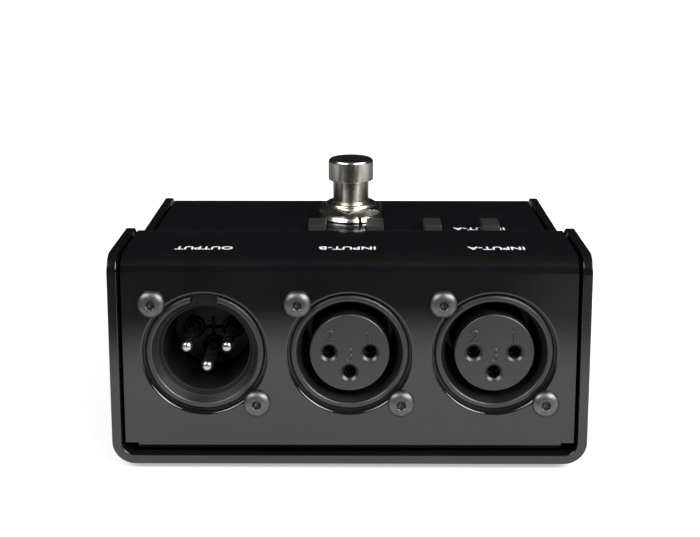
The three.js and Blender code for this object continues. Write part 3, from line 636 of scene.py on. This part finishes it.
# ------------------------------------------------- connectors, drawn about Z, the ring's front at 0
def in_panel(obj, x):
    return moved(obj, at(x, RING_FRONT, AXIS_HEIGHT + LIFT) @ UPRIGHT)


def plate_corners(half_x, half_y, radius):
    return [(x * half_x, y * half_y, radius) for x, y in CORNER_SIGNS]


def flange():
    half = FLANGE_SIZE / 2
    plate = prism(rounded(plate_corners(half, half, FLANGE_CORNER)), "z", FLANGE_BACK, FLANGE_FRONT)
    return boolean(plate, [prism(ngon(96, 2 * RING_RADIUS - 1), "z", FLANGE_BACK - 1, 0)])


def housing(mouth):
    """A barrel with its ring and flange. mouth is the inside, from the ring's lip to the floor."""
    barrel = RING_RADIUS - 1
    outside = [
        (barrel, -HOUSING_LENGTH),
        (barrel, -RING_DEPTH),
        (RING_RADIUS, -RING_DEPTH),
        (RING_RADIUS, 0, RING_ROUND),
        (LIP_RADIUS, 0, LIP_ROUND),
    ]
    floor = [(TAIL_HOLE, -HOUSING_FLOOR), (TAIL_HOLE, -HOUSING_LENGTH)]
    made = lathe(rounded([*outside, *mouth, *floor], 6), 128)
    return boolean(made, [flange()], "UNION")


def male_housing():
    funnel, step, ledge, bore, depth = 9.75, 9.55, 8.95, 8.75, 3.0
    mouth = [
        (funnel, -1.75, 0.15),
        (step, -1.85, 0.1),
        (ledge, -depth, 0.1),
        (bore, -depth, 0.06),
        (bore, -HOUSING_FLOOR, 0.4),
    ]
    notch = block(around(0, 5.4), (9.4, 13.5), (-1.7, 2))
    slot = block(around(0, 3.4), (8.0, 10.2), (-2.6, 2))
    return boolean(housing(mouth), [notch, slot])


def pin_spots():
    return [(PIN_CIRCLE, 0), (-PIN_CIRCLE, 0), (0, -PIN_CIRCLE)]


def male_insert():
    radius, back, face = 8.2, -20.1, -17.0
    plate = lathe(rounded([(0, back), (radius, back), (radius, face, 0.3), (0, face)], 4), 96)
    moved(plate, Matrix.Rotation(MOULD_TURN, 4, "Z"))
    groove, width, ring, boss, boss_foot = (face - 2.2, face + 1.0), 0.8, 4.9, 1.95, face - 2.4
    upright = block(around(0, width), (-PIN_CIRCLE, 2.3), groove)
    level = block((-PIN_CIRCLE, PIN_CIRCLE), around(0, width), groove)
    boolean(plate, [upright, level])
    boolean(plate, [moved(prism(ngon(48, ring), "z", *groove), at(x, y)) for x, y in pin_spots()])
    corners = rounded([(0, boss_foot), (boss, boss_foot), (boss, face, 0.15), (0, face)], 4)
    for x, y in pin_spots():
        boolean(plate, [moved(lathe(corners, 48), at(x, y))], "UNION")
    well = [(0, -21), (1.3, -21), (1.3, face - 1.6), (1.65, face - 0.2), (1.7, 0), (0, 0)]
    return boolean(plate, [moved(lathe(well, 48), at(x, y)) for x, y in pin_spots()])


def male_pin(x, y):
    tip, foot, end, radius, tail = -3.0, -21.0, -24.0, 1.2, 0.5
    corners = [(0, end), (tail, end), (tail, foot), (radius, foot), (radius, tip, 1.0), (0, tip)]
    return moved(lathe(rounded(corners, 8), 48), at(x, y))


def female_housing():
    bore = 9.75
    return housing([(bore, -2.3, 0.4), (bore, -HOUSING_FLOOR, 0.4)])


def female_insert():
    radius, foot, back, step = 7.95, 9.35, -20.1, -18.1
    corners = [(0, back), (foot, back), (foot, step, 0.3), (radius, step), (radius, 0, 0.35), (0, 0)]
    body = moved(lathe(rounded(corners, 5), 128), Matrix.Rotation(MOULD_TURN, 4, "Z"))
    wide, narrow, mouth = 1.7, 1.33, 1.82
    bore = [(0, -21), (wide, -21), (wide, -3.5), (narrow, -3.2), (narrow, -0.5), (mouth, 0)]
    bore += [(mouth + 0.6, 0.6), (0, 0.6)]
    return boolean(body, [moved(lathe(bore, 48), at(x, y)) for x, y in pin_spots()])


def contact(x, y):
    outer, inner, top, under, end, tail = 1.6, 1.2, -3.7, -13.6, -24.0, 0.5
    corners = [
        (0, end),
        (tail, end),
        (tail, under),
        (outer, under),
        (outer, top, 0.25),
        (inner, top, 0.08),
        (inner, under + 1),
        (0, under + 1),
    ]
    return moved(lathe(rounded(corners, 3), 40), at(x, y))


def panel_screw_places():
    steps = [(x, side * SCREW_OFFSET) for x in (-PITCH, 0, PITCH) for side in (1, -1)]
    return [(x - step, AXIS_HEIGHT + step) for x, step in steps]


def panel_screw():
    head, rise, under, shank, length = 2.72, 1.35, 0.1, 1.2, 7
    top = under + rise
    dome = [
        (head * 0.35 + head * 0.65 * math.cos(a), under + rise * (0.16 + 0.84 * math.sin(a)))
        for a in [math.radians(90) * i / 10 for i in range(11)]
    ]
    profile = [(0, -length), (shank, -length), (shank, under), (head - 0.08, under), *dome, (0, top)]
    half, floor = 0.85, top - 0.85
    socket = prism(ngon(6, 2 * half, 30), "z", floor, 3)
    drill = lathe([(0, -0.15), (0.6, 0.2), (half, floor), (half, 3), (0, 3)], 24)
    chamfer = lathe([(0, top - 0.12), (0.86, top - 0.12), (1.08, top + 0.1), (0, top + 0.1)], 32)
    return boolean(lathe(profile, 64), [socket, drill, chamfer])


# ------------------------------------------------------------------ footswitch, drawn about Z
def at_switch(obj):
    return moved(obj, at(0, SWITCH_Y, 0))


def plunger():
    cap, neck, under, top = 5.35, 4.25, DECK + 9.4, DECK + 14.7
    tip, tip_end, collar, collar_low, collar_top = 2.2, 21.0, 5.3, 27.0, 28.4
    profile = [(0, tip_end), (tip, tip_end), (tip, collar_low)]
    profile += [(collar, collar_low), (collar, collar_top), (neck, collar_top)]
    rim = rounded([(neck, under), (cap, under, 0.12), (cap, top - 0.15, 0.95), (0, top)], 8)[:-1]
    dome = [(cap * k, top - 0.12 * k * k) for k in (0.8, 0.6, 0.4, 0.2)]
    edge = [p for p in rim if p[0] > cap * 0.8 or p[1] < top - 1]
    return at_switch(lathe(profile + edge + dome + [(0, top)], 96))


def bushing():
    outer, inner, top, plate_top = 6.0, 4.55, DECK + 4.1, DECK - COVER_SHEET - 6.2
    thread_pitch, thread_depth, step = 0.8, 0.24, 0.1
    low, plate_low, plate_size = top - 1.6, plate_top - 1.5, 17

    def thread(radius, height, turn):
        if radius < outer - 0.2 or height > low:
            return radius
        return radius - thread_depth / 2 * (1 + math.cos(2 * math.pi * height / thread_pitch - turn))

    wall = [(outer, plate_top + step * i) for i in range(int((low - plate_top) / step) + 1)]
    crown = rounded([(outer, low), (outer, top, 0.8), (inner, top, 0.3), (inner, plate_low)], 6)[1:-1]
    sleeve = lathe([(inner, plate_low), (outer, plate_low), *wall, *crown], 72, thread)
    plate = block(around(0, plate_size), around(0, plate_size), (plate_low, plate_top))
    opening = prism(ngon(48, inner + outer), "z", plate_low - 1.5, plate_top + 1)
    bevelled(boolean(plate, [opening]), 0.15, angle=60, segments=2)
    return at_switch(boolean(sleeve, [plate], "UNION"))


def hex_nut(under, height, flats, turn):
    """A hexagon with its corners turned off below and above, where the crown steepens towards them."""
    corner, face, crown, top = flats / math.sqrt(3) + 0.1, flats / 2 - 0.15, 6.5, under + height
    bore, drop = 6.15, 0.95
    blank = prism(ngon(6, flats, turn), "z", under, top)
    fall = (corner - face) * math.tan(math.radians(30))
    shoulder = [(crown + (corner - crown) * k / 10, top - drop * (k / 10) ** 1.6) for k in range(10, -1, -1)]
    envelope = [(0, under), (face, under), (corner, under + fall), *shoulder, (0, top)]
    boolean(blank, [lathe(envelope, 144)], "INTERSECT")
    boolean(blank, [lathe([(0, under - 1), (bore, under - 1), (bore, top + 1), (0, top + 1)], 72)])
    return at_switch(bevelled(blank, 0.07, angle=25, segments=2))


def lock_washer():
    under, top, bore, foot, rim, gap = DECK + 0.1, DECK + 1.3, 6.35, 7.45, 6.95, 0.9
    corners = [
        (bore, under, 0.1),
        (foot, under, 0.15),
        (foot - 0.05, under + 0.25, 0.3),
        (rim, top, 0.35),
        (bore, top, 0.1),
    ]
    slit = block((0, 9), around(0, gap), (under - 1, top + 1))
    moved(slit, Matrix.Rotation(math.radians(-72), 4, "Z"))
    return at_switch(boolean(lathe(rounded(corners, 5), 120), [slit]))


def coil(place, low, high, radius=3.6, wire=0.4, turns=5, steps=36, sides=10):
    """A compression spring of round wire, its ends at the given heights."""
    bm = bmesh.new()
    rings = []
    circle = [2 * math.pi * i / sides for i in range(sides)]
    up = Vector((0, 0, wire))
    for k in range(turns * steps + 1):
        angle = 2 * math.pi * k / steps
        height = low + wire + (high - low - 2 * wire) * k / (turns * steps)
        out = Vector((math.cos(angle), math.sin(angle), 0))
        centre = Vector((place[0], place[1], height)) + radius * out
        rings.append([bm.verts.new(centre + wire * math.cos(a) * out + math.sin(a) * up) for a in circle])
    for a, b in zip(rings, rings[1:]):
        for i in range(sides):
            bm.faces.new((a[i], b[i], b[i - 1], a[i - 1]))
    bm.faces.new(rings[0])
    bm.faces.new(rings[-1][::-1])
    return new_object(bm)


def button_cap(x):
    top, low = DECK + BUTTON_PROUD, DECK - 2.1
    half_x, half_y = [size / 2 for size in BUTTON_SIZE]
    stem_size, stem_length = 2.2, 5.0
    cap = prism(rounded(plate_corners(half_x, half_y, 0.35), 4), "z", low, top)
    bevelled(cap, 0.16, angle=60, segments=3)
    stem = block(around(0, stem_size), around(0, stem_size), (low - stem_length, low + 0.1))
    boolean(cap, [stem], "UNION")
    return moved(cap, at(x, BUTTON_Y, 0))


# ------------------------------------------------------------------ lettering
PRINT, BEAD = 0.03, 0.25  # thickness of the printed words, radius of the moulded digits' strokes


def as_mesh(data):
    """The mesh of a curve or of a text, drawn as Blender would show it."""
    drawn = linked("drawn", data)
    bpy.context.view_layer.update()
    graph = bpy.context.evaluated_depsgraph_get()
    mesh = bpy.data.meshes.new_from_object(drawn.evaluated_get(graph))
    bpy.data.objects.remove(drawn)
    return mesh


def lettering(name, text, width, centre, height, windows=False):
    """Words printed on a deck, read from behind, and cut away at the button windows if windows is set."""
    curve = bpy.data.curves.new(name, "FONT")
    curve.body = text
    curve.align_x, curve.align_y = "CENTER", "CENTER"
    curve.size = 10
    curve.resolution_u = 4
    curve.extrude = 1.0
    curve.offset = 0.12
    mesh = as_mesh(curve)
    xs, ys, zs = zip(*[v.co for v in mesh.vertices])
    scale = (width / (max(xs) - min(xs)), height / (max(ys) - min(ys)), PRINT / (max(zs) - min(zs)))
    shift = Vector((-(max(xs) + min(xs)) / 2, -(max(ys) + min(ys)) / 2, -min(zs)))
    mesh.transform(Matrix.Diagonal((*scale, 1)) @ Matrix.Translation(shift))
    mesh.transform(at(*centre) @ Matrix.Rotation(math.pi, 4, "Z"))
    obj = linked(name, mesh)
    if windows:
        span = (centre[2] - 1, centre[2] + 1)
        boolean(obj, [block(*window, span) for window in button_windows()])
    finished(obj, name, INK, weighted=False)


def bow(centre, radius, start, end, steps=9):
    angles = [math.radians(start + (end - start) * i / (steps - 1)) for i in range(steps)]
    return [(centre[0] + radius * math.cos(a), centre[1] + radius * math.sin(a)) for a in angles]


def digit(value):
    """A moulded digit as a round bead along its strokes, half sunk in the face. Drawn about 0, 0."""
    strokes = {
        1: [(-0.42, 0.72), (0.12, 1.25), (0.12, -1.25)],
        2: [*bow((0, 0.55), 0.7, 165, -35), (-0.75, -1.25), (0.8, -1.25)],
        3: [*bow((0, 0.62), 0.62, 150, -75), *bow((0, -0.6), 0.66, 75, -150)],
    }
    curve = bpy.data.curves.new("strokes", "CURVE")
    curve.dimensions = "3D"
    curve.bevel_depth = BEAD
    curve.bevel_resolution = 2
    curve.use_fill_caps = True
    spline = curve.splines.new("POLY")
    points = strokes[value]
    spline.points.add(len(points) - 1)
    for point, (x, y) in zip(spline.points, points):
        point.co = (x, y, 0, 1)
    return linked("digit", as_mesh(curve))


# ------------------------------------------------------------------ assembly
finished(base_shell(), "painted_base", PAINT, nodes=["base_shell"], slot="black_paint")
finished(top_shell(), "painted_cover", PAINT, nodes=["top_shell"], slot="black_paint", smooth=50)

for i, place in enumerate(case_screw_places(), 1):
    screw = moved(case_screw_place(case_screw(), *place), at(z=LIFT))
    finished(screw, f"countersunk_screw_{i}", STEEL, nodes=[f"case_screw_{i}"], slot="screw_steel")

OUTPUT_X, INPUT_B_X, INPUT_A_X = -PITCH, 0.0, PITCH
MOULDED = {"slot": "connector_plastic", "smooth": 35}
shell = in_panel(male_housing(), OUTPUT_X)
finished(shell, "output_shell", NYLON, nodes=["output_xlr_housing"], **MOULDED)
# painted shade: the faces deep inside the output shell get the duller nylon copy
shade_deep_inside(shell, OUTPUT_X, radius=10.2, behind=1.0)
plate = in_panel(male_insert(), OUTPUT_X)
# painted shade: the whole pin plate, deep in the bore, gets the duller nylon copy
finished(plate, "output_pin_plate", SHADED_NYLON, nodes=["output_xlr_insert"], **MOULDED)
for i, spot in enumerate(pin_spots(), 1):
    pin = in_panel(male_pin(*spot), OUTPUT_X)
    finished(pin, f"output_pin_{i}", SILVER, nodes=[f"output_xlr_pin_{i}"], slot="contact_metal")

DIGITS = {1: (3.75, 3.4), 2: (-4.05, 3.4), 3: (-0.05, -0.35)}
for name, x in (("input_b", INPUT_B_X), ("input_a", INPUT_A_X)):
    shell = in_panel(female_housing(), x)
    finished(shell, f"{name}_shell", NYLON, nodes=[f"{name}_xlr_housing"], **MOULDED)
    insert = in_panel(female_insert(), x)
    finished(insert, f"{name}_face", NYLON, nodes=[f"{name}_xlr_insert"], **MOULDED)
    for i, spot in enumerate(pin_spots(), 1):
        socket, carried = in_panel(contact(*spot), x), [f"{name}_xlr_contact_{i}"]
        finished(socket, f"{name}_socket_{i}", BRONZE, nodes=carried, slot="contact_metal")
    for value, (dx, dz) in DIGITS.items():
        bead = moved(digit(value), at(x + dx, RING_FRONT, AXIS_HEIGHT + LIFT + dz) @ UPRIGHT)
        finished(bead, f"{name}_digit_{value}", NYLON, slot="connector_plastic", weighted=False)

for i, (x, z) in enumerate(panel_screw_places(), 1):
    turn = Matrix.Rotation(math.radians(17 * i), 4, "Z")
    screw, carried = moved(panel_screw(), at(x, PANEL, z + LIFT) @ UPRIGHT @ turn), [f"panel_screw_{i}"]
    finished(screw, f"button_head_screw_{i}", STEEL, nodes=carried, slot="screw_steel", smooth=35)

moving = "footswitch_plunger"
finished(plunger(), "plunger", NICKEL, body=moving, nodes=[moving], slot="nickel")
finished(bushing(), "threaded_bushing", NICKEL, nodes=["footswitch_bushing"], slot="nickel")
nut = hex_nut(under=DECK + 1.4, height=1.95, flats=14.3, turn=25)
finished(nut, "outer_nut", NICKEL, nodes=["footswitch_nut"], slot="nickel", smooth=30)
finished(lock_washer(), "split_washer", NICKEL, nodes=["footswitch_lock_washer"], slot="nickel")

spring_low, spring_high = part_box("footswitch_spring")
spring = coil((0, SWITCH_Y), spring_low[2] / MM, spring_high[2] / MM)
finished(spring, "return_coil", NICKEL, nodes=["footswitch_spring"], slot="nickel")
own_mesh(spring)

for i, x in enumerate(BUTTON_XS, 1):
    moving = f"push_button_{i}"
    finished(button_cap(x), f"button_cap_{i}", BUTTON, body=moving, nodes=[moving], slot="button_plastic")

LABEL_Y, LABEL_HEIGHT, LABEL_GAP = FRONT + 8.6, 2.3, 0.002
for name, text, x, width in (
    ("label_output", "OUTPUT", -29.3, 11.6),
    ("label_input_b", "INPUT-B", -0.5, 11.4),
    ("label_input_a", "INPUT-A", 29.4, 11.4),
):
    lettering(name, text, width, (x, LABEL_Y, UPPER_DECK + LIFT + LABEL_GAP), LABEL_HEIGHT)
lettering("label_button_a", "INPUT-A", 11.9, (29.8, FRONT + 50.0, DECK + LABEL_GAP), 2.4, windows=True)

CARRIED = {
    "nonslip_pad": RUBBER,
    "main_board": BOARD,
    "switch_board": BOARD,
    "board_header": BLACK,
    "footswitch_body": BLUE,
    "ribbon_cable": SHEATH,
}
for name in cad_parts:
    if name.startswith("board_screw"):
        CARRIED[name] = STEEL
    elif name.startswith("push_switch_body"):
        CARRIED[name] = BLACK
    elif name.startswith("footswitch_lug"):
        CARRIED[name] = SILVER
    elif name.startswith(("board_standoff", "footswitch_inner_nut")):
        CARRIED[name] = NICKEL
for name, finish in CARRIED.items():
    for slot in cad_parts[name].material_slots:
        slot.material = finish


# ------------------------------------------------------------------ stage, light and camera
# How bright the floor looks in reflections: near the box, and further off by its bearing from -Y
# towards +X. The first ends and the second begins at these distances, in metres.
NEAR_FLOOR, NEAR_END, FAR_START = 0.54, 0.103, 0.158
FLOOR_BEARINGS = [
    (-180, 0.12),
    (-112, 0.12),
    (-96, 0.2),
    (-80, 0.32),
    (-66, 0.16),
    (-36, 0.16),
    (-20, 0.02),
    (14, 0.02),
    (28, 0.2),
    (60, 0.45),
    (100, 0.32),
    (118, 0.12),
    (180, 0.12),
]
GLOW, GLOW_REACH = (0.42, 0.75), (0.2, 1.2)  # the floor's own light, near and far, and where
FILL = 0.45  # strength of the room's light on the box


def floor_material():
    made = bpy.data.materials.new("floor_white")
    made.use_nodes = True
    tree = made.node_tree
    tree.nodes.clear()
    rays = node(tree, "ShaderNodeLightPath")
    place = node(tree, "ShaderNodeTexCoord").outputs["Object"]
    reach = node(tree, "ShaderNodeVectorMath", {0: place}, operation="LENGTH").outputs["Value"]
    axes = node(tree, "ShaderNodeSeparateXYZ", {0: place})
    ahead = node(tree, "ShaderNodeMath", {0: axes.outputs["Y"], 1: -1.0}, operation="MULTIPLY").outputs[0]
    bearing = node(tree, "ShaderNodeMath", {0: axes.outputs["X"], 1: ahead}, operation="ARCTAN2").outputs[0]
    turned = node(tree, "ShaderNodeMapRange", {"Value": bearing, "From Min": -math.pi, "From Max": math.pi})
    ramp = node(tree, "ShaderNodeValToRGB", {"Fac": turned.outputs["Result"]})
    stops = ramp.color_ramp.elements
    for i, (degrees, level) in enumerate(FLOOR_BEARINGS):
        spot = (degrees + 180) / 360
        stop = stops[0] if i == 0 else stops[-1] if i == len(FLOOR_BEARINGS) - 1 else stops.new(spot)
        stop.position = spot
        stop.color = (level, level, level, 1)
    inputs = {"Value": reach, "From Min": NEAR_END, "From Max": FAR_START}
    fade = node(tree, "ShaderNodeMapRange", inputs, interpolation_type="SMOOTHSTEP").outputs["Result"]
    inputs = {"Factor": fade, 2: NEAR_FLOOR, 3: ramp.outputs["Color"]}
    level = node(tree, "ShaderNodeMix", inputs, data_type="FLOAT").outputs[0]
    inputs = {"Factor": rays.outputs["Is Glossy Ray"], 2: 1.0, 3: level}
    far = node(tree, "ShaderNodeMix", inputs, data_type="FLOAT").outputs[0]
    strength = spread(tree, reach, *GLOW, *GLOW_REACH)
    diffuse = node(tree, "ShaderNodeBsdfDiffuse", {"Color": (0.8, 0.8, 0.8, 1)})
    glow = node(tree, "ShaderNodeEmission", {"Color": (1, 1, 1, 1), "Strength": strength})
    lit = node(tree, "ShaderNodeAddShader", {0: diffuse.outputs[0], 1: glow.outputs[0]})
    dark = node(tree, "ShaderNodeEmission", {"Color": (0, 0, 0, 1), "Strength": 0.0})
    seen = node(tree, "ShaderNodeMixShader", {"Fac": far, 1: dark.outputs[0], 2: lit.outputs[0]})
    plain = node(tree, "ShaderNodeBsdfDiffuse", {"Color": (0.8, 0.8, 0.8, 1)})
    inputs = {0: rays.outputs["Is Camera Ray"], 1: rays.outputs["Is Glossy Ray"]}
    direct = node(tree, "ShaderNodeMath", inputs, operation="MAXIMUM").outputs[0]
    mixed = node(tree, "ShaderNodeMixShader", {"Fac": direct, 1: plain.outputs[0], 2: seen.outputs[0]})
    out = node(tree, "ShaderNodeOutputMaterial")
    tree.links.new(mixed.outputs[0], out.inputs["Surface"])
    return made


def card(name, corners, made, glossy_only):
    mesh = bpy.data.meshes.new(name)
    mesh.from_pydata(corners, [], [(0, 1, 2, 3)])
    mesh.materials.append(made)
    obj = linked(name, mesh)
    if glossy_only:
        obj.visible_camera = False
        obj.visible_diffuse = False
        obj.visible_shadow = False
        obj.visible_transmission = False


def glow_material(name, color, strength):
    made = bpy.data.materials.new(name)
    made.use_nodes = True
    tree = made.node_tree
    tree.nodes.clear()
    glow = node(tree, "ShaderNodeEmission", {"Color": color, "Strength": strength})
    out = node(tree, "ShaderNodeOutputMaterial")
    tree.links.new(glow.outputs[0], out.inputs["Surface"])
    return made


def level_square(half, height):
    return [(x * half, y * half, height) for x, y in CORNER_SIGNS]


card("floor", level_square(8, 0), floor_material(), glossy_only=False)

# a dark room that only reflections see, and a faint cool card over the camera, 40 to 75 degrees up
FLAG = glow_material("flag_black", (0.8, 0.85, 1.0, 1), 0.01)
REACH, LOW, TOP = 1.1, 0.002, 1.5
for i in range(4):
    turn = Matrix.Rotation(math.radians(90 * i), 4, "Z")
    corners = [(-REACH, REACH, LOW), (REACH, REACH, LOW), (REACH, REACH, TOP), (-REACH, REACH, TOP)]
    card(f"flag_{i}", [turn @ Vector(c) for c in corners], FLAG, glossy_only=True)
card("flag_ceiling", level_square(REACH, TOP), FLAG, glossy_only=True)
ROOM = glow_material("room_glow", (0.6, 0.66, 1.0, 1), 0.07)
corners = [(-0.3, -0.72, 0.6), (0.3, -0.72, 0.6), (0.3, -0.26, 0.95), (-0.3, -0.26, 0.95)]
card("room_card", corners, ROOM, glossy_only=True)

AIM = Vector((0, 0, 0.03))


def softbox(name, place, size, power):
    light = bpy.data.lights.new(name, "AREA")
    light.shape = "RECTANGLE"
    light.size, light.size_y = size
    light.energy = power
    obj = linked(name, light)
    obj.location = place
    obj.rotation_mode = "QUATERNION"
    obj.rotation_quaternion = (AIM - Vector(place)).to_track_quat("-Z", "Y")


softbox("softbox_left", (-0.503, -0.424, 0.576), (0.64, 0.36), 4.5)
softbox("softbox_right", (0.543, -0.44, 0.525), (0.84, 0.46), 10.0)

world = bpy.data.worlds.new("studio")
bpy.context.scene.world = world
world.use_nodes = True
tree = world.node_tree
tree.nodes.clear()
rays = node(tree, "ShaderNodeLightPath")
inputs = {0: rays.outputs["Is Camera Ray"], 1: rays.outputs["Is Glossy Ray"]}
seen = node(tree, "ShaderNodeMath", inputs, operation="MAXIMUM")
inputs = {0: seen.outputs[0], 1: rays.outputs["Is Transmission Ray"]}
seen = node(tree, "ShaderNodeMath", inputs, operation="MAXIMUM")
fill = node(tree, "ShaderNodeBackground", {"Color": (1, 1, 1, 1), "Strength": FILL})
white = node(tree, "ShaderNodeBackground", {"Color": (1, 1, 1, 1), "Strength": 1.0})
mixed = node(tree, "ShaderNodeMixShader", {"Fac": seen.outputs[0], 1: fill.outputs[0], 2: white.outputs[0]})
out = node(tree, "ShaderNodeOutputWorld")
tree.links.new(mixed.outputs[0], out.inputs["Surface"])

camera_data = bpy.data.cameras.new("camera")
camera_data.sensor_width = SENSOR
camera_data.lens = LENS
camera_data.shift_y = LENS_SHIFT
camera_data.clip_start = 0.01
camera = linked("camera", camera_data)
camera.location = (CAMERA_X * MM, (FRONT - CAMERA_BACK) * MM, CAMERA_HEIGHT * MM)
camera.rotation_euler = (math.pi / 2 - CAMERA_PITCH, 0, CAMERA_YAW)
bpy.context.scene.camera = camera
bpy.context.scene.view_settings.view_transform = "Standard"
